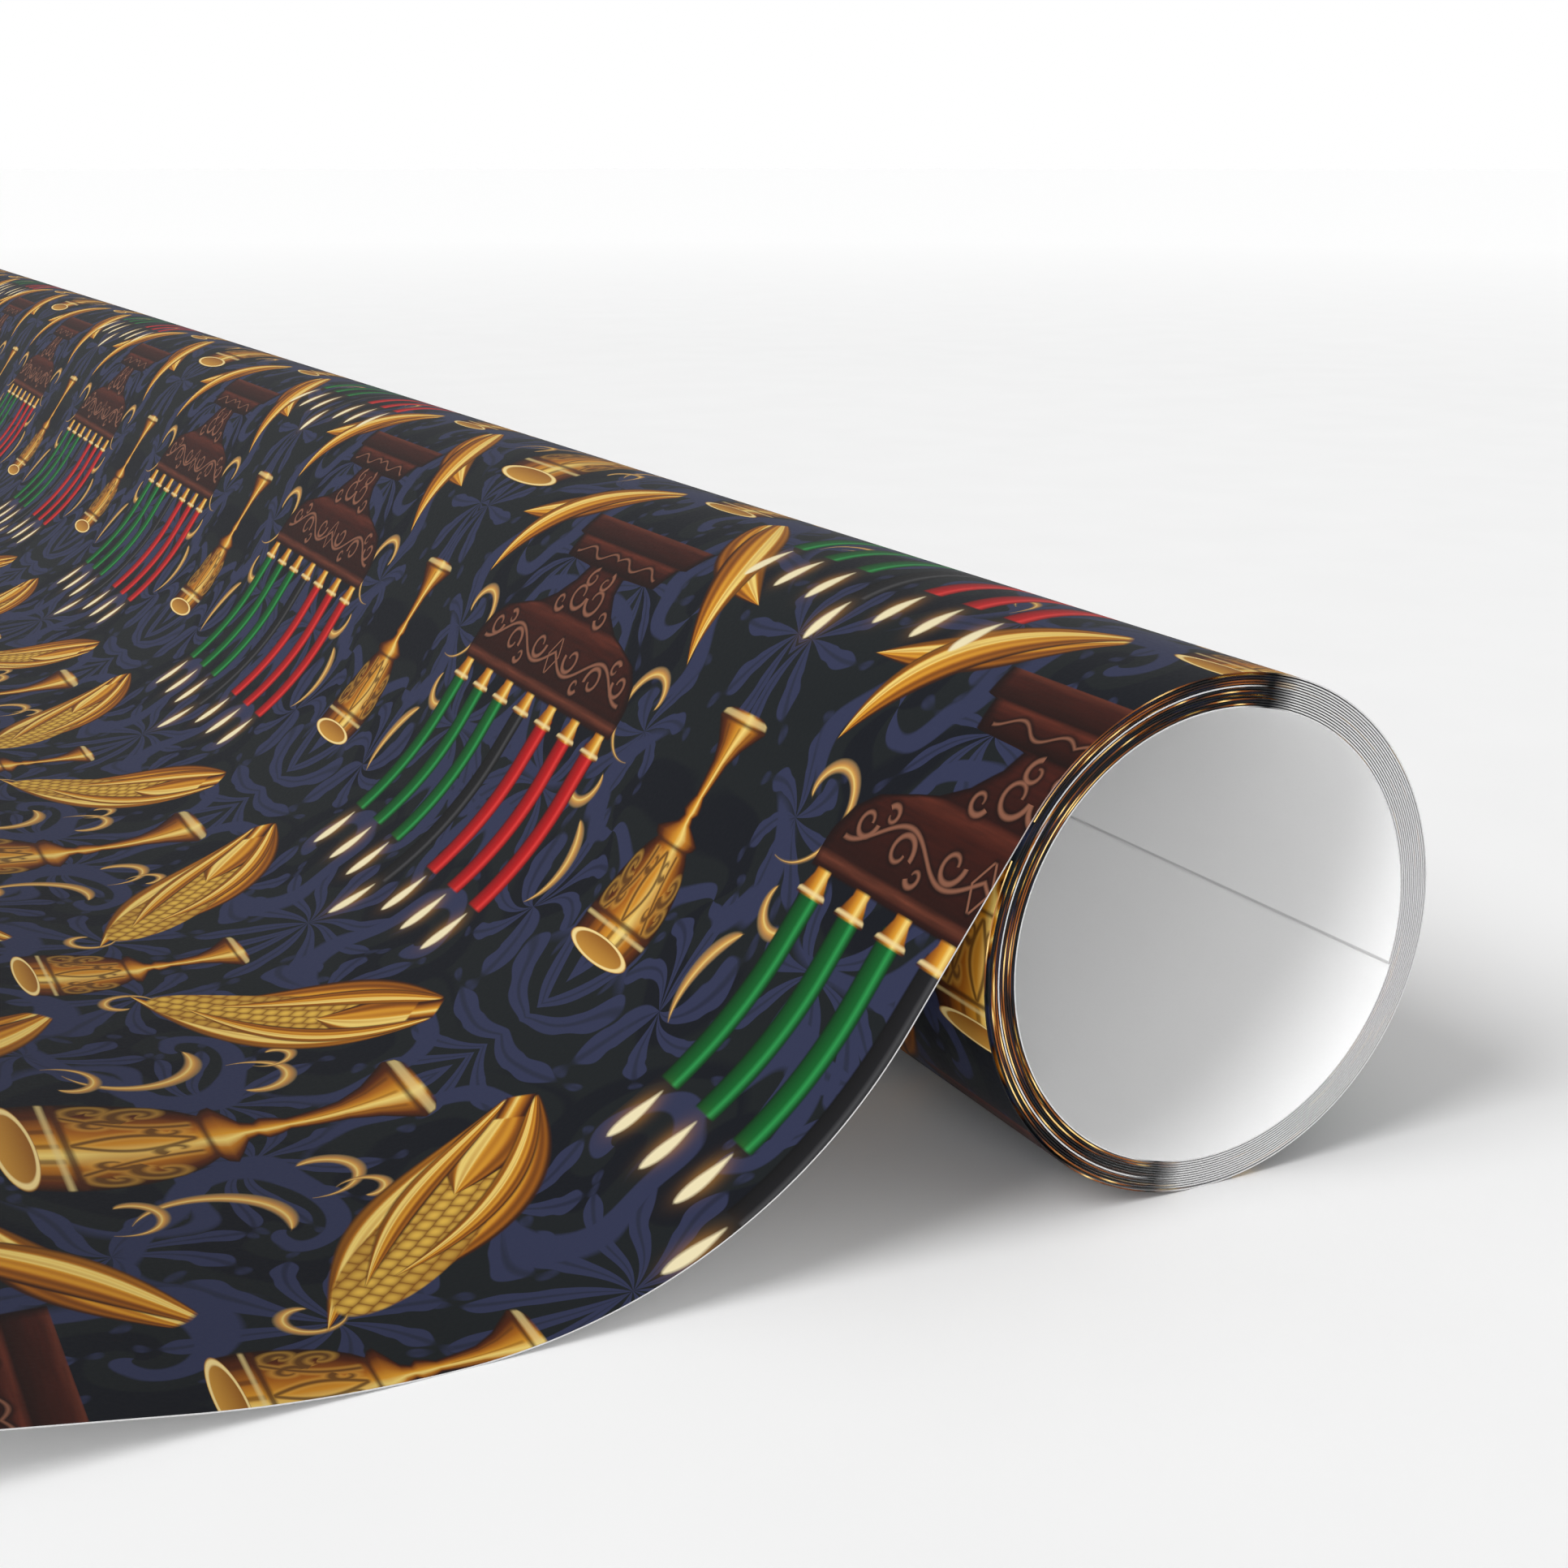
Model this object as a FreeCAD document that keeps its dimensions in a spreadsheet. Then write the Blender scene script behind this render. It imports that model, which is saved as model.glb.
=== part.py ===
import FreeCAD, Part
import os
from math import cos, radians, sin

# A roll of wrapping paper with its free end drawn out: one sheet, wound in turns that lie one
# inside the next. X runs across the roll, Y along its axis and Z up. The origin is on the axis
# at the middle of the roll. Lengths are in mm and angles in degrees, from +X towards +Z.

SIZES = {
    "paper_width": 762.0,        # along the roll: 30 inch paper
    "paper_thickness": 0.12,
    "layer_gap": 0.09,           # air between one turn and the next
    "roll_radius": 22.0,         # outside of the outer turn
    "turning_gap": 0.08,         # lets the wound turns rotate inside the outer turn
    "inner_turns": 12,           # whole turns inside the outer turn
    "leave_angle": 145.5,        # where the sheet leaves the roll
    "start_angle": -16.0,        # where the paper starts, on the wall of the hollow
    "butt_angle": 9.0,           # from where the sheet leaves to where the outer turn begins
    "bend_radius": 44.0,         # the sheet's bend from the slope down to the floor
    "curl_radius": 105.6,        # the upward curl beyond the bend
    "curl_angle": 10.5,
    "end_length": 31.0,          # the straight stretch up to the free edge
}
QUARTER = 90.0                   # a wound turn is four tangent arcs
ARCS_PER_TURN = 4
BEND_STRIPS = 4
CURL_STRIPS = 2
END_STRIPS = 2

doc = FreeCAD.newDocument("wrapping_paper_roll")
sizes = doc.addObject("Spreadsheet::Sheet", "Sizes")
for row, (name, value) in enumerate(SIZES.items(), start=1):
    sizes.set(f"A{row}", name)
    sizes.set(f"B{row}", str(value))
    sizes.setAlias(f"B{row}", name)
doc.recompute()

thickness = sizes.get("paper_thickness")
pitch = thickness + sizes.get("layer_gap")
roll_radius = sizes.get("roll_radius")
leave_angle = sizes.get("leave_angle")


def direction(angle):
    """The unit vector at an angle in the plane across the roll."""
    return FreeCAD.Vector(cos(radians(angle)), 0, sin(radians(angle)))


class Stretch:
    """A straight run or one arc of the paper, followed along its printed side.

    heading is the way the paper runs at the start. turn is how far it bends to its left, and the
    unprinted back is on that side.
    """

    def __init__(self, start, heading, length, turn=0.0):
        self.start = start
        self.heading = heading
        self.length = length
        self.turn = turn

    def at(self, share, depth=0.0):
        """The point a share of the way along, and a depth below the printed side."""
        left = direction(self.heading + self.turn * share + QUARTER)
        if self.turn == 0:
            along = direction(self.heading) * (self.length * share)
            return self.start + along + left * depth
        radius = self.length / radians(self.turn)
        centre = self.start + direction(self.heading + QUARTER) * radius
        return centre - left * (radius - depth)

    def edge(self, depth):
        """The line or arc that the paper follows at a depth below the printed side."""
        if self.turn == 0:
            return Part.makeLine(self.at(0, depth), self.at(1, depth))
        return Part.Arc(self.at(0, depth), self.at(0.5, depth), self.at(1, depth)).toShape()

    def onward(self, length, turn=0.0):
        """The next stretch, tangent to the end of this one."""
        return Stretch(self.at(1), self.heading + self.turn, length, turn)


def paper(label, stretches):
    """A strip of paper as wide as the roll: its section across the roll, extruded along Y."""
    first, last = stretches[0], stretches[-1]
    edges = [s.edge(0) for s in stretches] + [s.edge(thickness) for s in stretches]
    edges.append(Part.makeLine(first.at(0), first.at(0, thickness)))
    edges.append(Part.makeLine(last.at(1), last.at(1, thickness)))
    section = doc.addObject("Part::Feature", label + "_section")
    section.Shape = Part.Face(Part.Wire(Part.__sortEdges__(edges)))
    section.setExpression("Placement.Base.y", "-Sizes.paper_width / 2")
    strip = doc.addObject("Part::Extrusion", label)
    strip.Label = label
    strip.Base = section
    strip.DirMode = "Custom"
    strip.Dir = FreeCAD.Vector(0, 1, 0)
    strip.Solid = True
    strip.setExpression("LengthFwd", "Sizes.paper_width")
    return strip


def arc(centre, radius, low, high):
    """The stretch of a wound turn from one angle to a higher one, round a centre."""
    length = radius * radians(high - low)
    return Stretch(centre + direction(low) * radius, low + QUARTER, length, high - low)


# ------------------------------------------------------------------ the outer turn
# It is a true circle, open by butt_angle under the sheet that leaves it.

open_angle = sizes.get("butt_angle")
arc_angle = (360.0 - open_angle) / ARCS_PER_TURN
outer_start = leave_angle - 360.0 + open_angle
outer_arcs = [
    arc(FreeCAD.Vector(), roll_radius, outer_start + arc_angle * i, outer_start + arc_angle * (i + 1))
    for i in range(ARCS_PER_TURN)
]
nodes = [paper("outer_turn", outer_arcs)]

# ------------------------------------------------------------------ the wound turns
# Each arc inward is a quarter of a pitch tighter than the last, about a centre that much nearer
# to where they meet, so the paper runs smoothly from turn to turn.

step = pitch / ARCS_PER_TURN
wound_radius = roll_radius - thickness - sizes.get("turning_gap")
centre = (direction(leave_angle) + direction(leave_angle - QUARTER)) * (-step / 2)
turn_count = int(sizes.get("inner_turns"))
start_angle = sizes.get("start_angle") - 360.0 * turn_count
wound_arcs = []
high = leave_angle
while high > start_angle:
    low = max(high - QUARTER, start_angle)
    wound_arcs.append(arc(centre, wound_radius, low, high))
    centre = centre + direction(low) * step
    wound_radius -= step
    high = low

for turn in range(turn_count):
    first = turn * ARCS_PER_TURN
    is_last = turn == turn_count - 1
    arcs = wound_arcs[first:] if is_last else wound_arcs[first:first + ARCS_PER_TURN]
    label = "inner_turn" if is_last else f"turn_{turn + 2:02d}"
    nodes.append(paper(label, arcs[::-1]))

# ------------------------------------------------------------------ the drawn-out sheet
# It leaves the roll along a tangent, bends out flat where its back touches the floor, and curls
# up towards its free edge.

slope_angle = leave_angle - QUARTER
bend_radius = sizes.get("bend_radius")
leave_height = roll_radius * (1 + sin(radians(leave_angle)))
bend_height = bend_radius * (1 - cos(radians(slope_angle)))
slope_length = (leave_height - thickness - bend_height) / sin(radians(slope_angle))
leave_point = direction(leave_angle) * roll_radius
run = Stretch(leave_point, leave_angle + QUARTER, slope_length)
nodes.append(paper("sheet_slope", [run]))


def add_strips(name, count, length, turn=0.0):
    """Carry the sheet on by equal strips, which share its length and how far it turns."""
    global run
    for i in range(count):
        run = run.onward(length / count, turn / count)
        nodes.append(paper(f"{name}_{i + 1}", [run]))


curl_angle = sizes.get("curl_angle")
add_strips("sheet_bend", BEND_STRIPS, bend_radius * radians(slope_angle), -slope_angle)
add_strips("sheet_curl", CURL_STRIPS, sizes.get("curl_radius") * radians(curl_angle), -curl_angle)
add_strips("sheet_end", END_STRIPS, sizes.get("end_length"))

# ------------------------------------------------------------------ check and write

doc.recompute()
for item in doc.Objects:
    if "Invalid" in item.State or "Error" in item.State:
        raise RuntimeError(f"{item.Label} failed to recompute")
for node in nodes:
    if node.Shape.isNull() or not node.Shape.isValid() or len(node.Shape.Solids) != 1:
        raise RuntimeError(f"{node.Label} is not one valid solid")

os.makedirs("parts", exist_ok=True)
for node in nodes:
    node.Shape.exportStep(f"parts/{node.Label}.step")
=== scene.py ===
"""A roll of printed wrapping paper, its last turns drawn out as a sheet with a curled free edge."""
from math import cos, pi, radians, sin

import bpy
import numpy as np
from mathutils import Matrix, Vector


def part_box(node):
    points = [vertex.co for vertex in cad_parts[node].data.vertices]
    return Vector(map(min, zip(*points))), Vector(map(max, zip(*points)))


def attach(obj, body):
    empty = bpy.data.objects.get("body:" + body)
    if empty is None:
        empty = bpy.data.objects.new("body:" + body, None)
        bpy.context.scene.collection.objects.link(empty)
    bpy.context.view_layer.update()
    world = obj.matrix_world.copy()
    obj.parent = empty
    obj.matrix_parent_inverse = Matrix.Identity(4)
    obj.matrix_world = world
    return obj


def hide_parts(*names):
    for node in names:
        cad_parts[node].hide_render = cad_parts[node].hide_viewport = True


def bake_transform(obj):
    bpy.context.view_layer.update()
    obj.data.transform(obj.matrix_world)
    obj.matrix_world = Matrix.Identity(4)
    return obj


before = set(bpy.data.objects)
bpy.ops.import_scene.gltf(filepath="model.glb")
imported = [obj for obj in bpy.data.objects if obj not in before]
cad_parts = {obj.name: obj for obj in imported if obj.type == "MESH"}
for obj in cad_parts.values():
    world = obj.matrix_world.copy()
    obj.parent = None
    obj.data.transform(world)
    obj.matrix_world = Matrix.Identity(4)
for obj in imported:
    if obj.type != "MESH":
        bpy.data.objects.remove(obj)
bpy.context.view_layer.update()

# ------------------------------------------------------------------ sizes, in metres and degrees

MM = 0.001
outer_low, outer_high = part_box("outer_turn")
ROLL_RADIUS = 22 * MM                           # the outer turn is a circle about the Y axis
VISIBLE_END = outer_low.y
PAPER_WIDTH = outer_high.y - outer_low.y
FLOOR = -ROLL_RADIUS
HOLLOW_RADIUS = 19.2 * MM
THICKNESS = 0.12 * MM
LAYER_PITCH = 0.21 * MM                         # one turn of paper and the air above it
TURNING_GAP = 0.08 * MM
TURNS_WOUND = 12
LEAVE_ANGLE = 145.5
INNER_END_ANGLE = -16.0
BUTT_ANGLE = 9.0
BEND_RADIUS = 44 * MM
CURL_RADIUS = 105.6 * MM
CURL_ANGLE = 10.5
END_LENGTH = 31 * MM
QUARTER = 90.0
STATION = 1.1 * MM                              # the spacing of a mesh's stations along the paper
CELLS_ACROSS = 12

# ------------------------------------------------------------------ the line of the paper


def heading_vector(angle):
    """Unit vectors (x, z) at these angles in radians, in the plane across the roll."""
    return np.stack([np.cos(angle), np.sin(angle)], axis=-1)


class PaperLine:
    """The paper's printed side seen from the end: straight runs and arcs, one after another.

    A point at length s in a stretch of start P, heading h and curvature k is
    P + s * sinc(k s / 2) * unit(h + k s / 2), the chord of its arc. The back is on the left.
    """

    def __init__(self, start, heading, stretches, first_length):
        self.starts, self.headings, self.curvatures, self.lengths = [], [], [], [first_length]
        point = np.array(start, float)
        heading = radians(heading)
        for length, turn in stretches:
            self.starts.append(point)
            self.headings.append(heading)
            self.curvatures.append(radians(turn) / length)
            half = radians(turn) / 2
            point = point + length * np.sinc(half / pi) * heading_vector(heading + half)
            heading += radians(turn)
            self.lengths.append(self.lengths[-1] + length)

    def at(self, length, depth):
        """The points at these lengths, and a depth below the printed side."""
        joints = np.array(self.lengths)
        stretch = np.clip(np.searchsorted(joints, length, side="right") - 1, 0, len(joints) - 2)
        along = length - joints[stretch]
        turned = np.array(self.curvatures)[stretch] * along
        heading = np.array(self.headings)[stretch]
        chord = (along * np.sinc(turned / 2 / pi))[:, None] * heading_vector(heading + turned / 2)
        left = heading_vector(heading + turned + pi / 2)
        return np.array(self.starts)[stretch] + chord + left * depth


def outer_and_sheet():
    """The outer turn, a circle open by the butt angle, then the slope, the bend and the curl."""
    slope_angle = LEAVE_ANGLE - QUARTER
    leave_height = ROLL_RADIUS * (1 + sin(radians(LEAVE_ANGLE)))
    bend_height = BEND_RADIUS * (1 - cos(radians(slope_angle)))
    slope = (leave_height - THICKNESS - bend_height) / sin(radians(slope_angle))
    around = 360.0 - BUTT_ANGLE
    stretches = [
        (ROLL_RADIUS * radians(around), around),
        (slope, 0.0),
        (BEND_RADIUS * radians(slope_angle), -slope_angle),
        (CURL_RADIUS * radians(CURL_ANGLE), -CURL_ANGLE),
        (END_LENGTH, 0.0),
    ]
    start_angle = LEAVE_ANGLE - around
    start = ROLL_RADIUS * heading_vector(radians(start_angle))
    return PaperLine(start, start_angle + QUARTER, stretches, -stretches[0][0])


def wound_turns(last_length):
    """The wound turns: quarter arcs, each a quarter of a pitch tighter than the one outside it.

    Every arc meets the next on the line through both centres, so the paper runs smoothly.
    """
    step = LAYER_PITCH / 4
    radius = ROLL_RADIUS - THICKNESS - TURNING_GAP
    outward = heading_vector(radians(LEAVE_ANGLE)) + heading_vector(radians(LEAVE_ANGLE - QUARTER))
    centre = -step / 2 * outward
    last = INNER_END_ANGLE - 360.0 * TURNS_WOUND
    high = LEAVE_ANGLE
    arcs = []
    while high > last:
        low = max(high - QUARTER, last)
        arcs.append((radius * radians(high - low), high - low))
        inner_start = centre + radius * heading_vector(radians(low))
        centre = centre + step * heading_vector(radians(low))
        radius -= step
        high = low
    lengths = np.cumsum([0.0] + [length for length, _ in arcs])
    line = PaperLine(inner_start, last + QUARTER, arcs[::-1], last_length - lengths[-1])
    return line, last_length - lengths


sheet_line = outer_and_sheet()
OUTER_START = sheet_line.lengths[0]
wound_line, wound_joints = wound_turns(OUTER_START)
WHITE_EDGED_TURN = (float(wound_joints[20]), float(wound_joints[16]))    # one turn whose edge stays white
STARTING_EDGE = float(wound_joints[-1])
# the width of the grey line of painted shadow along the starting edge
EDGE_SHADOW_WIDTH = 0.18 * MM
INNERMOST = STARTING_EDGE + 2 * pi * HOLLOW_RADIUS                 # and the turn round the hollow

# ------------------------------------------------------------------ shader building


class Value:
    """A number inside a material. Arithmetic on it adds Math nodes."""

    def __init__(self, finish, socket):
        self.finish = finish
        self.socket = socket

    def __add__(self, other):
        return self.finish.math("ADD", self, other)

    def __sub__(self, other):
        return self.finish.math("SUBTRACT", self, other)

    def __rsub__(self, other):
        return self.finish.math("SUBTRACT", other, self)

    def __mul__(self, other):
        return self.finish.math("MULTIPLY", self, other)

    def __truediv__(self, other):
        return self.finish.math("DIVIDE", self, other)

    def __rtruediv__(self, other):
        return self.finish.math("DIVIDE", other, self)

    def __neg__(self):
        return self.finish.math("MULTIPLY", self, -1.0)

    def __abs__(self):
        return self.finish.math("ABSOLUTE", self)

    def __pow__(self, other):
        return self.finish.math("POWER", self, other)

    def __mod__(self, other):
        return self.finish.math("FLOORED_MODULO", self, other)

    __radd__ = __add__
    __rmul__ = __mul__


def tint(code):
    """A hex colour as linear light, with alpha."""
    parts = np.array([int(code[i:i + 2], 16) for i in (0, 2, 4)]) / 255
    linear = np.where(parts <= 0.04045, parts / 12.92, ((parts + 0.055) / 1.055) ** 2.4)
    return (*linear.tolist(), 1.0)


class Finish:
    """One procedural material, built node by node."""

    def __init__(self, name):
        self.material = bpy.data.materials.new(name)
        self.material.use_nodes = True
        self.tree = self.material.node_tree
        self.tree.nodes.clear()

    def node(self, kind, settings=None, sockets=None):
        """A node of this type, its settings first, then the values or links of its sockets."""
        made = self.tree.nodes.new(kind)
        for name, value in (settings or {}).items():
            if name == "stops":
                set_stops(made.color_ramp, value)
            elif name == "outline":
                set_outline(made.mapping, value)
            else:
                setattr(made, name, value)
        for name, value in (sockets or {}).items():
            if isinstance(value, Value):
                value = value.socket
            if isinstance(value, bpy.types.NodeSocket):
                self.tree.links.new(value, made.inputs[name])
            else:
                made.inputs[name].default_value = value
        return made

    def math(self, operation, *values, clamped=False):
        settings = {"operation": operation, **({"use_clamp": True} if clamped else {})}
        made = self.node("ShaderNodeMath", settings, dict(enumerate(values)))
        return Value(self, made.outputs[0])

    def least(self, *values):
        return self.chain("MINIMUM", values)

    def most(self, *values):
        return self.chain("MAXIMUM", values)

    def chain(self, operation, values):
        total = values[0]
        for value in values[1:]:
            total = self.math(operation, total, value)
        return total

    def sine(self, value):
        return self.math("SINE", value)

    def nearest(self, value, spacing):
        """The number of the nearest multiple of the spacing."""
        return self.math("ROUND", value / spacing)

    def within(self, distance, soft=0.012):
        """1 where the distance is below zero, 0 where it is above, with a soft edge."""
        return self.math("MULTIPLY_ADD", distance, -1 / soft, 0.5, clamped=True)

    def between(self, value, low, high, soft=0.012):
        return self.within(abs(value - (low + high) / 2) - (high - low) / 2, soft)

    def choose(self, share, low, high):
        """low where share is 0, and high where it is 1."""
        return self.math("MULTIPLY_ADD", share, high - low, low)

    def curve(self, outline, value):
        """A half-width or a height read from an outline, both from 0 to 1."""
        made = self.node("ShaderNodeFloatCurve", {"outline": outline}, {"Value": value})
        return Value(self, made.outputs[0])

    def ramp(self, stops, value):
        return self.node("ShaderNodeValToRGB", {"stops": stops}, {"Fac": value}).outputs["Color"]

    def mix(self, share, below, above, blend="MIX"):
        settings = {"data_type": "RGBA", "blend_type": blend}
        sockets = {0: share, 6: below, 7: above}
        return self.node("ShaderNodeMix", settings, sockets).outputs[2]

    def noise(self, vector, scale, detail=2.0, roughness=0.5):
        sockets = {"Vector": vector, "Scale": scale, "Detail": detail, "Roughness": roughness}
        return Value(self, self.node("ShaderNodeTexNoise", {}, sockets).outputs[0])

    def vector(self, x, y, z=0.0):
        return self.node("ShaderNodeCombineXYZ", {}, {0: x, 1: y, 2: z}).outputs[0]

    def paper_place(self):
        """Where a point is on the flat paper: metres from the visible end, and metres along."""
        place = self.node("ShaderNodeUVMap", {"uv_map": "flat_paper"}).outputs[0]
        split = self.node("ShaderNodeSeparateXYZ", {}, {0: place})
        return Value(self, split.outputs[0]), Value(self, split.outputs[1])

    def finish_with(self, colour, roughness, height, depth, gloss=0.3):
        relief = {"Strength": 0.4, "Distance": depth, "Height": height}
        bump = self.node("ShaderNodeBump", {}, relief)
        sockets = {"Base Color": colour, "Roughness": roughness, "Normal": bump.outputs[0]}
        sockets.update({"Specular IOR Level": gloss, "IOR": 1.45})
        shader = self.node("ShaderNodeBsdfPrincipled", {}, sockets)
        self.node("ShaderNodeOutputMaterial", {}, {"Surface": shader.outputs[0]})
        return self.material


def set_stops(ramp, stops):
    while len(ramp.elements) < len(stops):
        ramp.elements.new(1.0)
    for element, (place, code) in zip(ramp.elements, stops):
        element.position = place
        element.color = tint(code)


def set_outline(mapping, outline):
    curve = mapping.curves[0]
    while len(curve.points) < len(outline):
        curve.points.new(0.5, 0.5)
    for point, (place, height) in zip(curve.points, outline):
        point.location = (place, height)
        point.handle_type = "VECTOR"
    mapping.update()


# ------------------------------------------------------------------ the print
# Lengths in the print are in roll radii. Its columns stand COLUMN apart along the roll, and its
# rows follow at ROW along the paper. Columns of candle holders (A) take turns with columns of
# goblets and corn cobs (B), and every other B column has a holder in every second row.

COLUMN = 2.06
ROW = 4.48
FIRST_COLUMN = 0.05
PRINT_AT_LEAVING = 1.841                         # where the sheet leaves the roll, in the print

# centre (from column B, along the paper), size, petals, twist and phase
ROSETTES = (
    ((0.00, 3.62), 0.64, 11, 0.0, 1.57), ((0.00, 1.62), 0.52, 9, 0.0, 1.57),
    ((2.06, 4.00), 0.64, 11, 0.0, 1.57), ((0.66, 3.10), 0.46, 7, 3.2, 0.0),
    ((1.52, 2.75), 0.56, 9, -2.6, 0.4), ((0.80, 2.28), 0.42, 7, 4.0, 0.2),
    ((1.66, 1.62), 0.48, 9, 3.0, 0.9), ((0.95, 1.05), 0.48, 7, -3.4, 0.3),
    ((0.42, 0.35), 0.48, 9, 3.2, 0.6), ((1.62, 0.45), 0.50, 8, -3.0, 0.0),
    ((1.25, 4.25), 0.46, 7, 3.4, 0.5), ((2.06, 2.90), 0.46, 9, 0.0, 1.57),
)
# centre, size, arms and twist
SPIRALS = (
    ((0.45, 2.75), 0.56, 4, 6.5), ((1.62, 2.15), 0.60, 2, -11.0), ((0.85, 0.45), 0.60, 2, 11.0),
    ((1.30, 3.75), 0.56, 2, -11.0), ((1.05, 1.65), 0.46, 4, 8.0), ((0.55, 4.15), 0.50, 2, 11.0),
    ((1.70, 1.00), 0.46, 2, 12.0), ((1.75, 3.30), 0.40, 2, 12.0), ((0.35, 0.95), 0.42, 2, -12.0),
)

GOLD = (
    (0.00, "180802"), (0.10, "612c06"), (0.26, "c27a1a"), (0.40, "ffe07e"),
    (0.50, "e6a22e"), (0.66, "b36a15"), (0.86, "582606"), (1.00, "180802"),
)
RED_WAX = (
    (0.00, "3a0305"), (0.12, "a50f13"), (0.30, "e83a36"),
    (0.45, "c01016"), (0.85, "8c0a10"), (1.00, "300306"),
)
GREEN_WAX = (
    (0.00, "021d0a"), (0.12, "075221"), (0.30, "2c9a4e"),
    (0.45, "0a6428"), (0.85, "06461b"), (1.00, "021a08"),
)
BLACK_WAX = (
    (0.00, "060607"), (0.12, "18181a"), (0.30, "48484a"),
    (0.45, "1b1b1e"), (0.85, "131315"), (1.00, "050506"),
)
WOOD_BANDS = (
    (0.00, "7d3d2a"), (0.04, "4e1d13"), (0.15, "260b07"), (0.17, "753423"), (0.21, "471910"),
    (0.30, "190604"), (0.33, "542016"), (0.57, "300e09"), (0.60, "703222"), (0.66, "48190f"),
    (0.92, "30100a"), (0.95, "80432f"), (0.98, "38120b"), (1.00, "180604"),
)
# centre, radius, start, sweep and closing of the scrolls cut into a holder
HOLDER_SCROLLS = (
    ((0.215, 0.810), 0.082, 3.3, -8.6, 0.85), ((0.545, 0.855), 0.084, 2.9, 8.6, 0.85),
    ((0.830, 0.812), 0.072, 3.2, -8.6, 0.85), ((0.390, 0.915), 0.045, 0.4, 5.6, 0.6),
    ((0.705, 0.750), 0.045, -0.6, -5.6, 0.6), ((0.100, 0.490), 0.095, 3.1, -8.4, 0.80),
    ((0.080, 0.385), 0.060, -1.4, 6.4, 0.7), ((0.270, 0.560), 0.060, 2.8, -6.4, 0.7),
)
GOBLET_SCROLLS = (
    ((0.64, 0.26), 0.17, 2.6, -6.0, 0.85), ((0.44, 0.50), 0.13, -1.2, 5.4, 0.8),
    ((0.78, 0.52), 0.10, 2.2, -5.6, 0.8), ((0.20, 0.14), 0.11, 0.6, 5.0, 0.7),
)
HOLDER_OUTLINE = (
    (0.00, 0.66), (0.150, 0.62), (0.160, 0.56), (0.30, 0.51), (0.31, 0.20), (0.40, 0.23),
    (0.50, 0.33), (0.57, 0.46), (0.60, 0.58), (0.66, 0.78), (0.74, 0.88), (0.84, 0.93),
    (0.92, 0.945), (0.925, 0.965), (1.00, 0.965),
)
GOBLET_OUTLINE = (
    (0.00, 0.52), (0.015, 0.66), (0.045, 0.72), (0.07, 0.62), (0.13, 0.38), (0.20, 0.22),
    (0.34, 0.13), (0.37, 0.20), (0.40, 0.24), (0.42, 0.15), (0.45, 0.22), (0.48, 0.50),
    (0.50, 0.66), (0.52, 0.62), (0.535, 0.50), (0.57, 0.64), (0.63, 0.80), (0.72, 0.92),
    (0.82, 0.99), (0.90, 1.00), (1.00, 0.93),
)


def gilded(f, across):
    """Gold with brown edges and one pale highlight, for across running from -1 to 1."""
    return f.ramp(GOLD, across * 0.5 + 0.5)


def rosette(f, x, y, centre, size, petals, twist, phase):
    """A rosette's petals as a mask: at each bearing the edge stands at size times a sine."""
    dx = x - centre[0]
    dy = (y - (centre[1] - ROW / 2)) % ROW - ROW / 2
    distance = f.math("SQRT", dx * dx + dy * dy)
    bearing = f.math("ARCTAN2", dy, dx) * (petals / 2) + distance * twist + phase
    lobe = abs(f.sine(bearing))
    notches = f.sine(distance * (19.0 / size)) * 0.10
    edge = f.within(distance - (lobe ** 1.6 + notches) * size, 0.03)
    rib = f.within(0.99 - lobe, 0.02) * 0.45
    return edge * f.within(0.62 + distance * (0.16 / size) - lobe, 0.07) * (1.0 - rib)


def spiral_bands(f, x, y, centre, size, arms, twist):
    """Spiral arms inside a circle, as a wave from -1 to 1, and the circle's mask."""
    dx = x - centre[0]
    dy = (y - (centre[1] - ROW / 2)) % ROW - ROW / 2
    distance = f.math("SQRT", dx * dx + dy * dy)
    bearing = f.math("ARCTAN2", dy, dx) * (arms / 2) + distance * twist
    ragged = f.sine(distance * 26.0 + dx * 9.0) * 0.10
    return f.sine(bearing) + ragged, f.within(distance - size, 0.06)


def damask(f, near_b, length):
    """The ground: mirrored slate rosettes and leaves over dark scroll strokes, on charcoal navy."""
    turn = length * (2 * pi / ROW)
    radius = ROW / (2 * pi)
    ring = f.vector(near_b, f.math("COSINE", turn) * radius, f.sine(turn) * radius)
    drift = f.node("ShaderNodeTexNoise", {}, {"Vector": ring, "Scale": 1.7, "Detail": 0.0})
    split = f.node("ShaderNodeSeparateColor", {}, {0: drift.outputs[1]})
    x = near_b + (Value(f, split.outputs[0]) - 0.5) * 0.40
    y = length + (Value(f, split.outputs[1]) - 0.5) * 0.40
    strokes, scrolls = 0.0, 0.0
    for centre, size, arms, twist in SPIRALS:
        wave, disc = spiral_bands(f, x, y, centre, size, arms, twist)
        strokes = f.most(strokes, f.within(wave + 0.45, 0.2) * disc)
        scrolls = f.most(scrolls, f.within(0.76 - wave, 0.12) * disc)
    leaves = 0.0
    for centre, size, petals, twist, phase in ROSETTES:
        leaves = f.most(leaves, rosette(f, x, y, centre, size, petals, twist, phase))
    ground = f.mix(strokes * 0.85, tint("181d20"), tint("0b0f1a"))
    return f.mix(f.most(leaves, scrolls) * 0.85, ground, tint("353a5a"))


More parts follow.
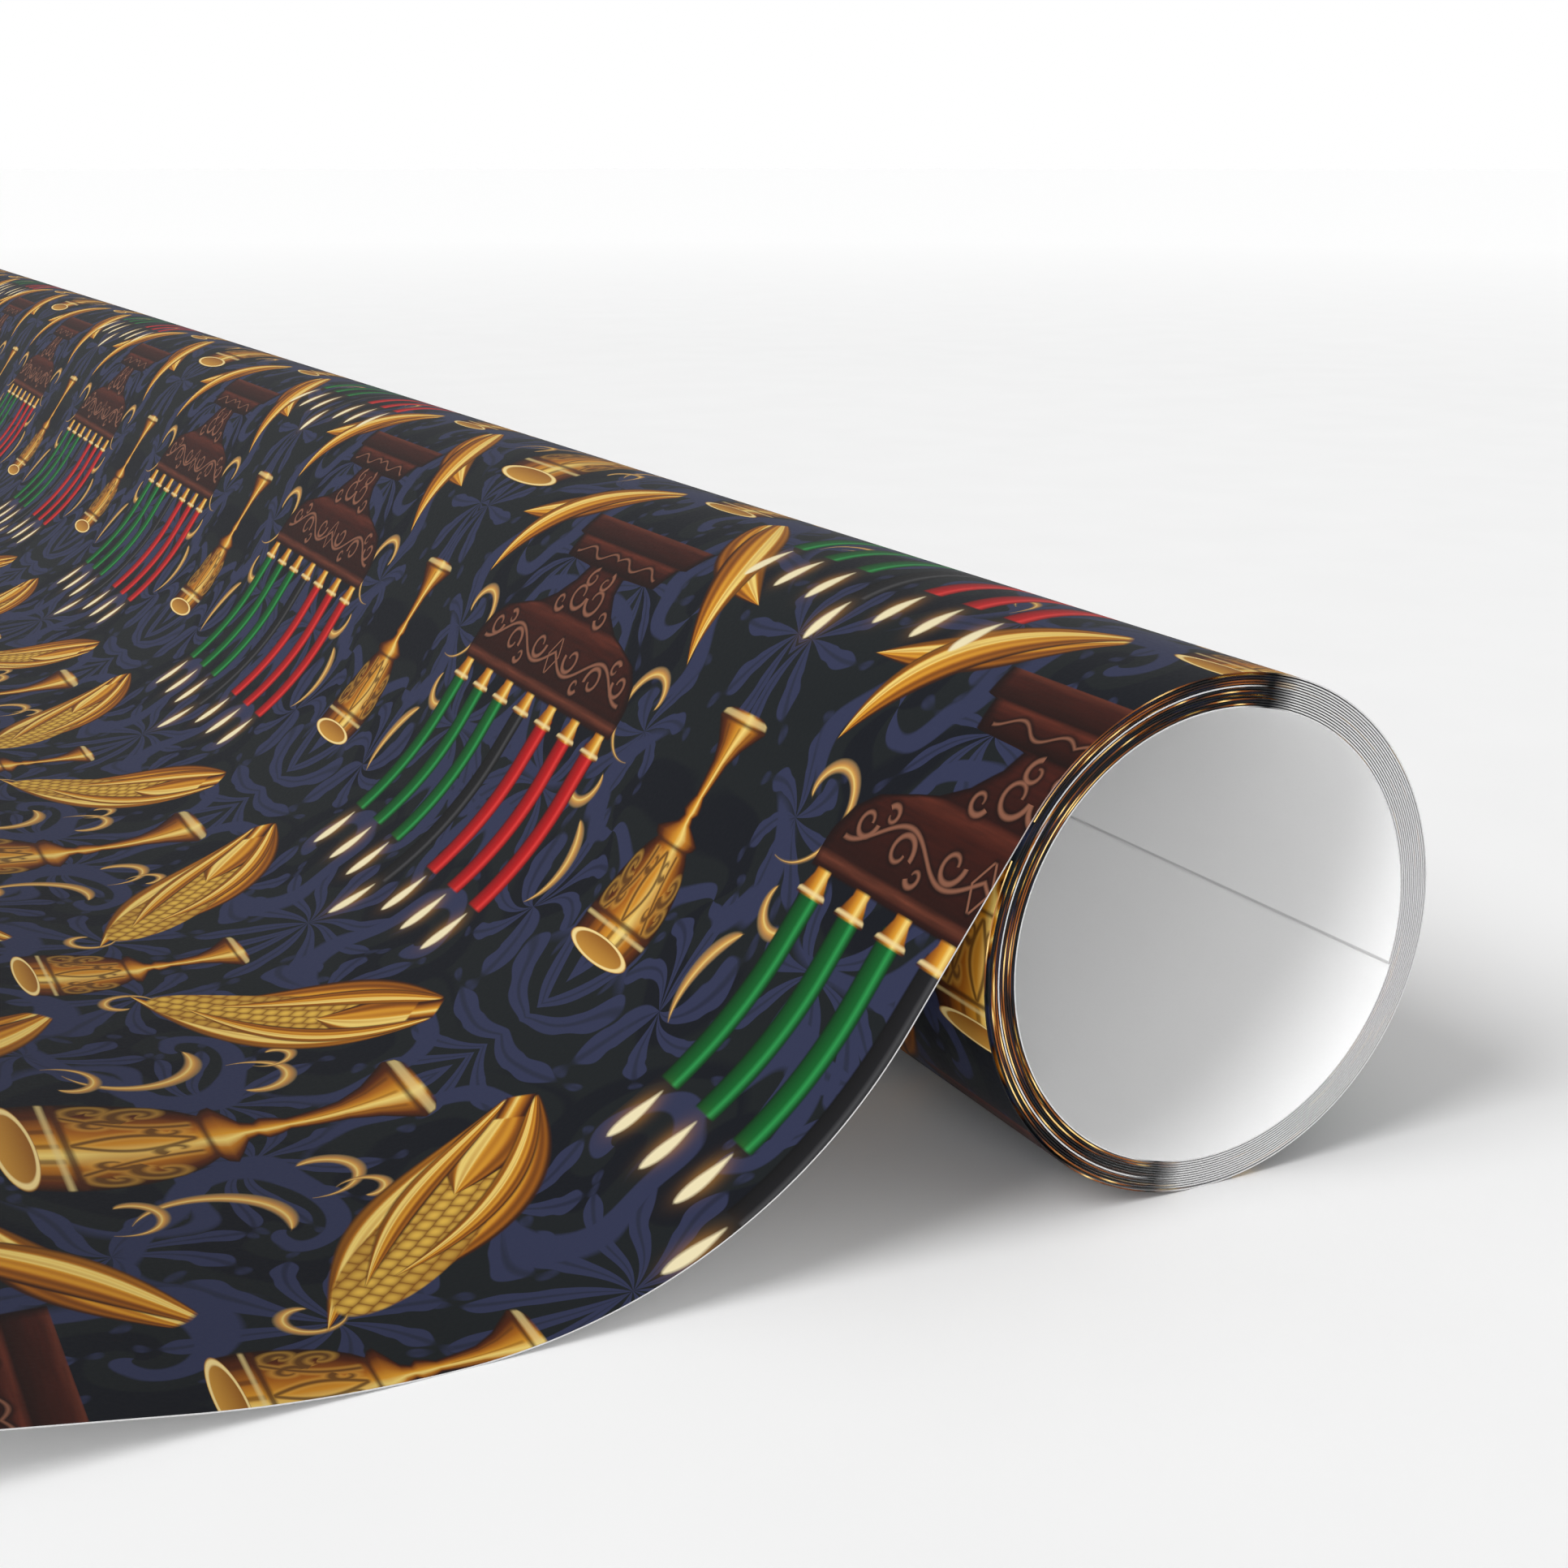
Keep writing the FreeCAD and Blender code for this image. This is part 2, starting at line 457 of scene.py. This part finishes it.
def leaf(f, ink, along, across, length, width, bow):
    """A gold husk leaf: blunt at its stem, pointed at its tip and bowed to one side."""
    share = along / length
    swell = f.sine((share * 0.91 + 0.09) * pi)
    half = f.most(swell * width, 0.0005)
    side = across - swell * bow
    shape = f.within(abs(side) - half) * f.between(share, 0.0, 1.0, 0.02)
    ratio = side / half
    ridges = f.sine(ratio * 13.0 + share * 2.0) * 0.16
    colour = gilded(f, ratio * 0.75 + ridges)
    colour = f.mix(f.within(0.84 - abs(ratio), 0.2) * 0.8, colour, tint("3a1d08"))
    return f.mix(shape, ink, colour)


def scroll_line(f, x, y, centre, radius, start, sweep, closing):
    """A spiral arc about its centre: how far a point stands outside it, and how far along."""
    dx = x - centre[0]
    dy = y - centre[1]
    way = 1.0 if sweep > 0 else -1.0
    angle = (f.math("ARCTAN2", dy, dx) - start) * way
    turned = (angle % (2 * pi)) / abs(sweep)
    distance = f.math("SQRT", dx * dx + dy * dy)
    return distance - (1.0 - turned * closing) * radius, turned


def curl(f, ink, x, y, centre, radius, width, start, sweep, closing):
    """A thin gold scroll along a spiral arc, thinning and closing as it goes."""
    side, turned = scroll_line(f, x, y, centre, radius, start, sweep, closing)
    half = f.sine(f.most(1.0 - turned, 0.0) ** 0.7 * pi) * width
    shape = f.within(abs(side) - half) * f.within(turned - 1.0, 0.05)
    colour = f.mix(0.35, gilded(f, side / f.most(half, 0.002) * 0.9), tint("cdb078"))
    return f.mix(shape, ink, colour)


def carving(f, x, y, scrolls, width):
    """How far a point is from the nearest of several tapering carved scrolls."""
    reach = 1.0
    for centre, radius, start, sweep, closing in scrolls:
        side, turned = scroll_line(f, x, y, centre, radius, start, sweep, closing)
        left = 1.0 - turned
        reach = f.least(reach, abs(side) - f.most(left, 0.0) ** 0.5 * width + f.most(-left, 0.0))
    return reach


def holder(f, ink, x, t):
    """A carved wooden holder with seven candles in gold cups, from its base at t = 0."""
    body_height = 1.06
    share = t / body_height
    side = abs(x)
    half = f.curve(HOLDER_OUTLINE, share) * 1.1
    body = f.within(side - half) * f.between(t, 0.0, body_height)
    grain = f.noise(f.vector(x * 2.0, t * 22.0), 2.0, 2.0)
    wood = f.mix(grain * 0.8, f.ramp(WOOD_BANDS, share), tint("1d0b07"))
    wood = f.mix(f.within(half - side - 0.04, 0.06), wood, tint("190706"))
    # a vine along the body, in halves that spring from a leaf at the middle
    swing = f.sine(side * 9.0 - 0.3) * 0.072
    level = t - 0.83
    scrolls = carving(f, side, t, HOLDER_SCROLLS, 0.012)
    vine = abs(level - swing) - 0.009
    bud = abs(side * 1.9 + abs(level) * 1.1 - 0.12) - 0.012
    cut = f.least(f.most(vine, side - half + 0.10), f.most(bud, abs(level) - 0.10), scrolls)
    panel = abs(f.sine(side * 22.0) * 0.03 + t - 0.245) - 0.006
    cut = f.least(cut, f.most(panel, side - half + 0.08))
    wood = f.mix(f.within(cut - 0.014, 0.02) * 0.75, wood, tint("140504"))
    wood = f.mix(f.within(cut, 0.012) * 0.75, wood, tint("a06a52"))
    ink = f.mix(body, ink, wood)

    number = f.least(f.most(f.nearest(x, 0.308), -3.0), 3.0)
    middle = f.within(abs(number) - 0.5, 0.1)
    across = x - number * 0.308
    length = t - middle * 0.2
    wax_side = across + f.sine(t * 3.1 + number * 1.7) * 0.008
    ratio = wax_side / 0.082 * 0.5 + 0.5
    wax = f.mix(f.within(number, 0.2), f.ramp(GREEN_WAX, ratio), f.ramp(RED_WAX, ratio))
    wax = f.mix(middle, wax, f.ramp(BLACK_WAX, ratio))
    candle = f.within(abs(wax_side) - 0.078) * f.within(1.12 - t) * f.within(length - 2.06)
    ink = f.mix(candle, ink, wax)
    cup_half = 0.052 + f.most(t - 1.08, 0.0) * 0.5 + f.between(t, 1.145, 1.18) * 0.012
    cup = f.within(abs(across) - cup_half) * f.between(t, 1.055, 1.175)
    brass = f.mix(f.between(t, 1.148, 1.165) * 0.8, gilded(f, across / 0.12), tint("fbe3a4"))
    ink = f.mix(cup * f.within(side - 1.1), ink, brass)

    rise = length - 2.23
    glow_far = across * across + rise * rise * 0.4
    glow = f.math("EXPONENT", glow_far * -260.0) * f.between(length, 1.9, 2.8, 0.2)
    ink = f.mix(glow * 0.55, ink, tint("c98b3c"))
    flame_share = (length - 2.10) / 0.27
    flame_half = f.sine(f.most(1.0 - flame_share, 0.0) ** 0.7 * pi) * 0.036
    flame = f.within(abs(across) - flame_half, 0.02) * f.between(flame_share, 0.0, 1.0, 0.05)
    flame = flame * f.within(side - 1.0)
    return f.mix(flame, ink, tint("fff1c4"))


def goblet(f, ink, x, share, width, shown):
    """A gold goblet from its foot at share 0 to its rim at 1, with petals cut into the bowl."""
    half = f.curve(GOBLET_OUTLINE, share) * width
    shape = f.within(abs(x) - half) * f.between(share, 0.0, 1.0) * shown
    ratio = x / f.most(half, 0.01)
    side = abs(x) / width
    brass = gilded(f, ratio)
    # copper warmth in the bowl's upper part
    colour = f.mix(f.between(share, 0.54, 0.84, 0.1) * 0.25, brass, tint("b06a22"), "MULTIPLY")
    bowl = f.between(share, 0.56, 0.86)
    climb = (share - 0.56) / 0.30
    petal = f.sine(climb * pi)
    inner_petal = abs(side - petal * 0.17) - 0.035
    outer_petal = abs(side - 0.30 - climb * 0.38 + petal * 0.10) - 0.028
    cut = f.least(inner_petal, outer_petal, carving(f, side, climb * 0.7, GOBLET_SCROLLS, 0.042))
    colour = f.mix(f.within(cut - 0.05, 0.05) * bowl * 0.35, colour, tint("f0b850"))
    cut = f.within(cut, 0.04) * bowl
    rings = f.most(f.between(share, 0.855, 0.875), f.between(share, 0.975, 0.99))
    rings = f.most(rings, f.between(share, 0.036, 0.05), f.between(share, 0.53, 0.545))
    ribs = f.within(abs(f.sine(ratio * 9.0)) - 0.45, 0.4) * f.between(share, 0.88, 0.97) * 0.75
    foot = f.within(abs(f.sine(ratio * 6.0)) - 0.3, 0.3) * f.between(share, 0.06, 0.30) * 0.5
    colour = f.mix(f.most(cut, rings, ribs, foot) * 0.8, colour, tint("45200a"))
    foot_edge = f.between(share, 0.008, 0.032, 0.01)
    rim_line = f.between(share, 0.885, 0.90, 0.01)
    colour = f.mix(f.most(foot_edge, rim_line) * 0.6, colour, tint("f6dc95"))
    rim = f.within(abs(f.math("SUBTRACT", half, abs(x))) - 0.008, 0.012)
    colour = f.mix(rim * 0.7, colour, tint("2a1206"))
    ink = f.mix(shape, ink, colour)
    # the open mouth, an oval with a pale lip
    flat, deep = side / 0.96, (share - 0.985) / 0.05
    oval = f.math("SQRT", flat * flat + deep * deep)
    inside = f.mix(f.within(deep * -0.6, 1.4), tint("8a4d12"), tint("d9a040"))
    inside = f.mix(f.within(abs(oval - 0.90) - 0.07, 0.06), inside, tint("ffe39a"))
    return f.mix(f.within(oval - 1.0, 0.05) * shown, ink, inside)


def cob(f, ink, m, length):
    """A corn cob in its open husk, leaning away from the big goblet."""
    dx = m - 0.54
    dy = length - 3.81
    along = dx * 0.716 + dy * 0.698
    across = dx * 0.698 - dy * 0.716
    ink = leaf(f, ink, along, across, 1.36, 0.13, 0.20)
    ink = leaf(f, ink, along, across, 1.62, 0.12, -0.20)
    from_centre = (along - 0.86) / 0.64
    ratio = across / 0.20
    kernels = f.within(from_centre * from_centre + ratio * ratio - 1.0, 0.08)
    row = f.sine(across * 50.0)
    step = f.sine(along * 44.0 + f.math("SIGN", row) * 0.785)
    bead = f.math("SQRT", abs(row) * abs(step))
    grains = f.mix(bead, tint("7a430c"), tint("f4c552"))
    shade = f.within(0.45 - abs(ratio), 0.9)
    grains = f.mix(shade * 0.5, grains, tint("8f5412"))
    ink = f.mix(kernels, ink, grains)
    ink = leaf(f, ink, along, across + 0.015, 0.62, 0.17, 0.0)
    ink = leaf(f, ink, along, across - 0.03, 1.20, 0.065, 0.14)
    ink = leaf(f, ink, along, across + 0.03, 1.30, 0.065, -0.14)
    stem = f.within(f.most(abs(along - 0.05) - 0.07, abs(across) - 0.07))
    return f.mix(stem, ink, gilded(f, across / 0.07))


def printed_paper():
    f = Finish("printed_face")
    width_way, length_way = f.paper_place()
    along_roll = width_way / ROLL_RADIUS - FIRST_COLUMN
    length = length_way / ROLL_RADIUS + PRINT_AT_LEAVING
    column = f.nearest(along_roll, COLUMN)
    x = along_roll - column * COLUMN
    is_b = column % 2.0
    is_b_one = f.within(abs(column % 4.0 - 1.0) - 0.5, 0.1)
    b_number = f.nearest(along_roll - COLUMN, 2 * COLUMN)
    m = abs(along_roll - COLUMN - b_number * (2 * COLUMN))

    ink = damask(f, m, length)

    row = length % ROW
    for end, half_length, bend in (((0.545, 1.48), 1.14, 0.12), ((0.73, 1.88), 1.27, -0.12)):
        dx, dy = m - 1.51, row - 0.88
        run = (end[0] - 1.51, end[1] - 0.88)
        size = (run[0] ** 2 + run[1] ** 2) ** 0.5
        along = dx * (run[0] / size) + dy * (run[1] / size)
        across = dx * (run[1] / size) - dy * (run[0] / size)
        ink = leaf(f, ink, along, across, half_length, 0.145, bend)

    scrolls = (
        ((0.86, 2.12), 0.30, 0.032, 1.9, -5.2, 0.75),
        ((0.98, 2.52), 0.26, 0.032, -1.2, 4.6, 0.7),
        ((1.00, 2.98), 0.28, 0.042, 2.3, 1.9, 0.0),
        ((0.50, 4.66), 0.21, 0.036, 0.3, -3.9, 0.5),
        ((0.72, 4.52), 0.12, 0.028, 2.2, 4.4, 0.6),
        ((0.86, 5.08), 0.33, 0.042, 1.9, 3.1, 0.3),
        ((0.66, 5.40), 0.18, 0.030, 0.4, -4.0, 0.6),
        ((1.58, 4.98), 0.14, 0.026, -1.6, 5.0, 0.6),
    )
    later = (length - 1.6) % ROW + 1.6
    for scroll in scrolls:
        ink = curl(f, ink, m, later, *scroll)
    ink = cob(f, ink, m, later)

    is_big = is_b * f.within(3.6 - later, 0.001)
    clear = 1.0 - f.between(later, 3.5, 3.7)
    small_start = f.choose(is_b, 4.32, 1.95)
    start = f.choose(is_big, small_start, 4.07)
    span = f.choose(is_big, f.choose(is_b, 1.04, 1.21), 1.65)
    cup_width = f.choose(is_big, 0.30, 0.43)
    in_turn = (length + 1.02) % (2 * ROW)
    candle_row = is_b_one * f.within(in_turn - 2.7, 0.02)
    ink = goblet(f, ink, x, (later - start) / span, cup_width, (1.0 - candle_row) * clear)

    t_a = (length - 1.30) % ROW
    t = f.choose(is_b, t_a, f.choose(candle_row, 9.0, in_turn))
    ink = holder(f, ink, x, t)
    ink = f.mix(1.0, ink, tint("dcdcdc"), "MULTIPLY")       # matt ink takes the brightness down

    fibre_place = f.vector(width_way * 1000.0, length_way * 1000.0)
    fibre = f.noise(fibre_place, 2.2, 3.0, 0.6)
    roughness = f.math("MULTIPLY_ADD", fibre, 0.12, 0.44)
    return f.finish_with(ink, roughness, fibre, 0.00002, 0.12)


def wound_print():
    """The print on the turns inside the roll, where only their edges show: its plain ground,
    crossed by the gold of the larger motifs."""
    f = Finish("wound_print")
    width_way, length_way = f.paper_place()
    place = f.vector(width_way / ROLL_RADIUS, length_way / ROLL_RADIUS)
    leaves = f.within(0.52 - f.noise(place, 3.4, 1.0), 0.04)
    ink = f.mix(leaves * 0.85, tint("20272a"), tint("363c5a"))
    shine = f.noise(place, 1.9, 2.0)
    ink = f.mix(f.within(0.56 - shine, 0.02), ink, f.ramp(GOLD, (shine - 0.56) * 6.0))
    fibre = f.noise(f.vector(width_way * 1000.0, length_way * 1000.0), 2.2, 3.0, 0.6)
    return f.finish_with(ink, f.math("MULTIPLY_ADD", fibre, 0.12, 0.42), fibre, 0.00002)


def white_paper(name, light, dark):
    """Uncoated white paper: cloudy fibre in tone, roughness and height."""
    f = Finish(name)
    width_way, length_way = f.paper_place()
    place = f.vector(width_way * 1000.0, length_way * 1000.0)
    cloud = f.noise(place, 0.06, 3.0, 0.55)
    fibre = f.noise(place, 3.0, 3.0, 0.65)
    colour = f.mix(cloud * 0.6 + fibre * 0.4, tint(dark), tint(light))
    # the paper's starting edge carries a grey line of painted shadow, all along the hollow
    painted_edge_shadow = f.within(length_way - STARTING_EDGE - EDGE_SHADOW_WIDTH, 0.5 * EDGE_SHADOW_WIDTH)
    colour = f.mix(painted_edge_shadow * 0.5, colour, tint("8a8a8a"))
    return f.finish_with(colour, f.math("MULTIPLY_ADD", fibre, 0.15, 0.7), fibre, 0.00003)


# the print's colours as seen between the turns: black, most of it painted shade in the gaps, with one
# brown and gold band and a little navy
EDGE_PRINT_AND_SHADE = (
    (0.000, "000001"), (0.450, "010101"), (0.480, "2a1204"), (0.505, "8a4a10"), (0.520, "ffd98a"),
    (0.535, "8a4a10"), (0.560, "0c0502"), (0.600, "010102"), (0.720, "020204"), (1.000, "141a30"),
)


def cut_edge():
    """The cut edge: white paper toned grey with painted shade; over the side where the sheet leaves,
    the print's colours as seen between the turns, darkened with painted shade in the gaps, and a band
    of painted shade where that side ends.
    """
    f = Finish("cut_edge")
    around = f.node("ShaderNodeAttribute", {"attribute_name": "around"}).outputs["Vector"]
    split = f.node("ShaderNodeSeparateXYZ", {}, {0: around})
    cosine, sine = Value(f, split.outputs[0]), Value(f, split.outputs[1])
    width_way, length_way = f.paper_place()
    streak = f.noise(f.vector(length_way * 1000.0, 0.0), 0.021, 3.0, 0.55)
    print_and_shade = f.ramp(EDGE_PRINT_AND_SHADE, streak)
    leaning = cosine * -0.97 + sine * 0.22
    white_edged_turn = f.between(length_way, *WHITE_EDGED_TURN, 0.002)
    kept_white = f.most(white_edged_turn, f.within(length_way - INNERMOST, 0.002))
    # over the side where the sheet leaves: the print's colours as seen between the turns, with
    # painted shade in the gaps
    print_and_shade_side = f.within(-0.02 - leaning, 0.18) * (1.0 - kept_white)
    # a near-black band of painted shade where the print side gives way to the white side
    painted_shade_band = f.within(abs(leaning - 0.03) - 0.07, 0.12)
    fibre = f.noise(f.vector(width_way * 1000.0, length_way * 1000.0), 4.0, 2.0)
    # white paper toned grey: painted shade of the edges seen end-on
    white = f.mix(fibre, tint("b2b2b2"), tint("d4d4d4"))
    colour = f.mix(print_and_shade_side, white, print_and_shade)
    colour = f.mix(painted_shade_band, colour, tint("060606"))
    # the drawn-out sheet keeps a white edge
    on_roll = f.within(length_way)
    colour = f.mix(on_roll, white, colour)
    return f.finish_with(colour, f.math("MULTIPLY_ADD", fibre, 0.1, 0.6), fibre, 0.00002)


printed_face = printed_paper()
wound_face = wound_print()
white_back = white_paper("white_back", "dedede", "d6d6d6")
# a lighter copy of the white back: painted light for the light that comes through the paper into the
# hollow
hollow_white_painted_light = white_paper("hollow_white_painted_light", "fafafa", "f4f4f4")      # light comes through to it
paper_edge = cut_edge()

# ------------------------------------------------------------------ the paper's pieces


def paper_piece(name, line, low, high, face=printed_face, back_face=white_back):
    """A strip of paper from one length to another, as a closed thin solid.

    Stations follow the line. At each one the section is a loop: the printed side across the
    roll, then the back the other way. Loops join into walls, and the two end loops are capped.
    """
    stations = max(8, int(np.ceil((high - low) / STATION))) + 1
    length = np.linspace(low, high, stations)
    across = np.linspace(VISIBLE_END, VISIBLE_END + PAPER_WIDTH, CELLS_ACROSS + 1)
    front, back = line.at(length, 0.0), line.at(length, THICKNESS)
    ring = 2 * len(across)
    points = np.zeros((stations, ring, 3))
    points[:, :, 1] = np.concatenate([across, across[::-1]])
    points[:, :len(across), ::2] = front[:, None]
    points[:, len(across):, ::2] = back[:, None]

    station, place = np.meshgrid(np.arange(stations - 1), np.arange(ring), indexing="ij")
    following = (place + 1) % ring
    walls = np.stack([station * ring + place, station * ring + following,
                      (station + 1) * ring + following, (station + 1) * ring + place], axis=-1)
    cell = np.arange(CELLS_ACROSS)
    cap = np.stack([cell, ring - 1 - cell, ring - 2 - cell, cell + 1], axis=-1)
    far_cap = (stations - 1) * ring + cap[:, ::-1]
    faces = np.concatenate([walls.reshape(-1, 4), cap, far_cap])

    kind = np.full(ring, 1)
    kind[:CELLS_ACROSS] = 0
    kind[[CELLS_ACROSS, ring - 1]] = 2
    surface = np.concatenate([np.tile(kind, stations - 1), np.full(2 * CELLS_ACROSS, 2)])

    mesh = bpy.data.meshes.new(name)
    mesh.from_pydata(points.reshape(-1, 3).tolist(), [], faces.tolist())
    for material in (face, back_face, paper_edge):
        mesh.materials.append(material)
    mesh.polygons.foreach_set("material_index", surface.astype(np.int32))
    mesh.polygons.foreach_set("use_smooth", np.ones(len(faces), bool))
    corners = np.zeros(len(mesh.loops), np.int32)
    mesh.loops.foreach_get("vertex_index", corners)
    flat = np.zeros((stations, ring, 2))
    flat[:, :, 0] = points[:, :, 1] - VISIBLE_END
    flat[:, :, 1] = length[:, None]
    corner_places = flat.reshape(-1, 2)[corners].ravel().astype(np.float32)
    mesh.uv_layers.new(name="flat_paper")
    mesh.uv_layers["flat_paper"].data.foreach_set("uv", corner_places)
    angle = np.arctan2(front[:, 1], front[:, 0])
    around = np.zeros((stations, ring, 3))
    around[:, :, 0] = np.cos(angle)[:, None]
    around[:, :, 1] = np.sin(angle)[:, None]
    attribute = mesh.attributes.new("around", "FLOAT_VECTOR", "POINT")
    attribute.data.foreach_set("vector", around.ravel().astype(np.float32))
    mesh.set_sharp_from_angle(angle=radians(40))
    mesh.update()
    piece = bpy.data.objects.new(name, mesh)
    bpy.context.scene.collection.objects.link(piece)
    return piece


def as_point(line, length):
    """The printed side's point at this length, in the row frame."""
    x, z = line.at(np.array([length]), 0.0)[0]
    return (float(x), 0.0, float(z))


# Boundaries of the strips of the drawn-out sheet, from where it leaves the roll. Every strip
BOUNDARIES = [mm * MM for mm in (13.4, 23.9, 34.5, 45.2, 55.8, 66.0, 76.2, 88.0)]
BLEND_LENGTH = 16 * MM                          # at most, from one strip's body to the next
FREE_EDGE = sheet_line.lengths[-1]
STRIPS = ("bend_1", "bend_2", "bend_3", "bend_4", "curl_1", "curl_2", "end_1", "end_2")

outer = paper_piece("outer_turn_paper", sheet_line, OUTER_START, BOUNDARIES[0])
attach(outer, "drawn_sheet")
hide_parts("outer_turn", "sheet_slope")
outer_flat = (PAPER_WIDTH, BOUNDARIES[0] - OUTER_START)
for strip, low, high in zip(STRIPS, BOUNDARIES, BOUNDARIES[1:] + [FREE_EDGE]):
    piece = paper_piece(f"sheet_{strip}_paper", sheet_line, low, high)
    start = as_point(sheet_line, low)
    end = as_point(sheet_line, min(high, low + BLEND_LENGTH))
    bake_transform(piece)
    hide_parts(f"sheet_{strip}")
    high - low

# Each wound turn is a half that stays with its own turn, and a half toward the next one.
for turn in range(TURNS_WOUND):
    is_last = turn == TURNS_WOUND - 1
    body = "wound_inner_turn" if is_last else f"wound_turn_{turn + 2:02d}"
    node = "inner_turn" if is_last else f"turn_{turn + 2:02d}"
    first, half_way, end = wound_joints[4 * turn:4 * turn + 5:2]
    if is_last:
        half_way = wound_joints[-1]
    inside = hollow_white_painted_light if is_last else white_back
    near = paper_piece(f"{node}_near", wound_line, half_way, first, wound_face, inside)
    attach(near, body)
    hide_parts(node)
    first - half_way
    if is_last:
        break
    far = paper_piece(f"{node}_far", wound_line, end, half_way, wound_face)
    start, end_point = as_point(wound_line, half_way), as_point(wound_line, end)
    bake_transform(far)
    half_way - end

# ------------------------------------------------------------------ floor, light and camera


FLOOR_REACH = 12.0
DOME_REACH = 11.0


def studio_floor():
    """A pale matte floor, flat under the roll."""
    f = Finish("pale_floor")
    place = f.node("ShaderNodeTexCoord").outputs["Object"]
    speck = f.noise(place, 40.0, 2.0)
    measured = f.node("ShaderNodeVectorMath", {"operation": "LENGTH"}, {0: place})
    reached = Value(f, measured.outputs[1])
    near = f.mix(speck, tint("f1f1f1"), tint("f5f5f5"))
    colour = f.mix(f.within(1.1 - reached, 1.2), near, (1.0, 1.0, 1.0, 1.0))
    material = f.finish_with(colour, 0.85, speck, 0.00001)
    signs = ((-1, -1), (1, -1), (1, 1), (-1, 1))
    corners = [(x * FLOOR_REACH, y * FLOOR_REACH, FLOOR) for x, y in signs]
    mesh = bpy.data.meshes.new("floor")
    mesh.from_pydata(corners, [], [(0, 1, 2, 3)])
    mesh.materials.append(material)
    floor = bpy.data.objects.new("floor", mesh)
    bpy.context.scene.collection.objects.link(floor)


def sun(name, towards, strength, width):
    """A distant soft light, shining from this direction and this many degrees wide."""
    lamp = bpy.data.lights.new(name, "SUN")
    lamp.energy = strength
    lamp.angle = radians(width)
    light = bpy.data.objects.new(name, lamp)
    light.rotation_euler = Vector(towards).to_track_quat("Z", "Y").to_euler()
    bpy.context.scene.collection.objects.link(light)


def backdrop():
    """A white dome behind everything, seen by the eye but lighting nothing.

    A point at azimuth a and elevation e is the reach times (cos a cos e, sin a cos e, sin e).
    """
    f = Finish("white_backdrop")
    glow = f.node("ShaderNodeEmission", {}, {"Color": (1.0, 1.0, 1.0, 1.0), "Strength": 1.0})
    f.node("ShaderNodeOutputMaterial", {}, {"Surface": glow.outputs[0]})
    columns, rows = 48, 14
    azimuths = np.linspace(0, 2 * pi, columns, endpoint=False)
    elevations = np.linspace(-0.01, pi / 2, rows)
    a, e = np.meshgrid(azimuths, elevations, indexing="ij")
    points = DOME_REACH * np.stack([np.cos(a) * np.cos(e), np.sin(a) * np.cos(e), np.sin(e)], axis=-1)
    i, j = np.meshgrid(np.arange(columns), np.arange(rows - 1), indexing="ij")
    k = (i + 1) % columns
    faces = np.stack([i * rows + j, i * rows + j + 1, k * rows + j + 1, k * rows + j], axis=-1)
    mesh = bpy.data.meshes.new("backdrop")
    mesh.from_pydata(points.reshape(-1, 3).tolist(), [], faces.reshape(-1, 4).tolist())
    mesh.materials.append(f.material)
    dome = bpy.data.objects.new("backdrop", mesh)
    bpy.context.scene.collection.objects.link(dome)
    dome.visible_diffuse = False
    dome.visible_glossy = False
    dome.visible_transmission = False
    dome.visible_shadow = False


studio_floor()
backdrop()
sun("key_light", (-1.0, -0.12, 0.95), 1.97, 30.0)
sun("fill_light", (-0.30, -1.0, 0.17), 1.65, 30.0)

world = bpy.data.worlds.new("studio")
world.use_nodes = True
world.node_tree.nodes["Background"].inputs["Color"].default_value = (1.0, 1.0, 1.0, 1.0)
world.node_tree.nodes["Background"].inputs["Strength"].default_value = 0.50
bpy.context.scene.world = world
bpy.context.scene.view_settings.view_transform = "Standard"

camera_data = bpy.data.cameras.new("camera")
camera_data.lens = 50.82
camera_data.sensor_width = 36.0
camera_data.clip_start = 0.01
camera = bpy.data.objects.new("camera", camera_data)
camera.location = (-0.10705, -0.516, 0.0612)
camera.rotation_euler = (pi / 2 - 0.2784, 0.0, -0.466)
bpy.context.scene.collection.objects.link(camera)
bpy.context.scene.camera = camera
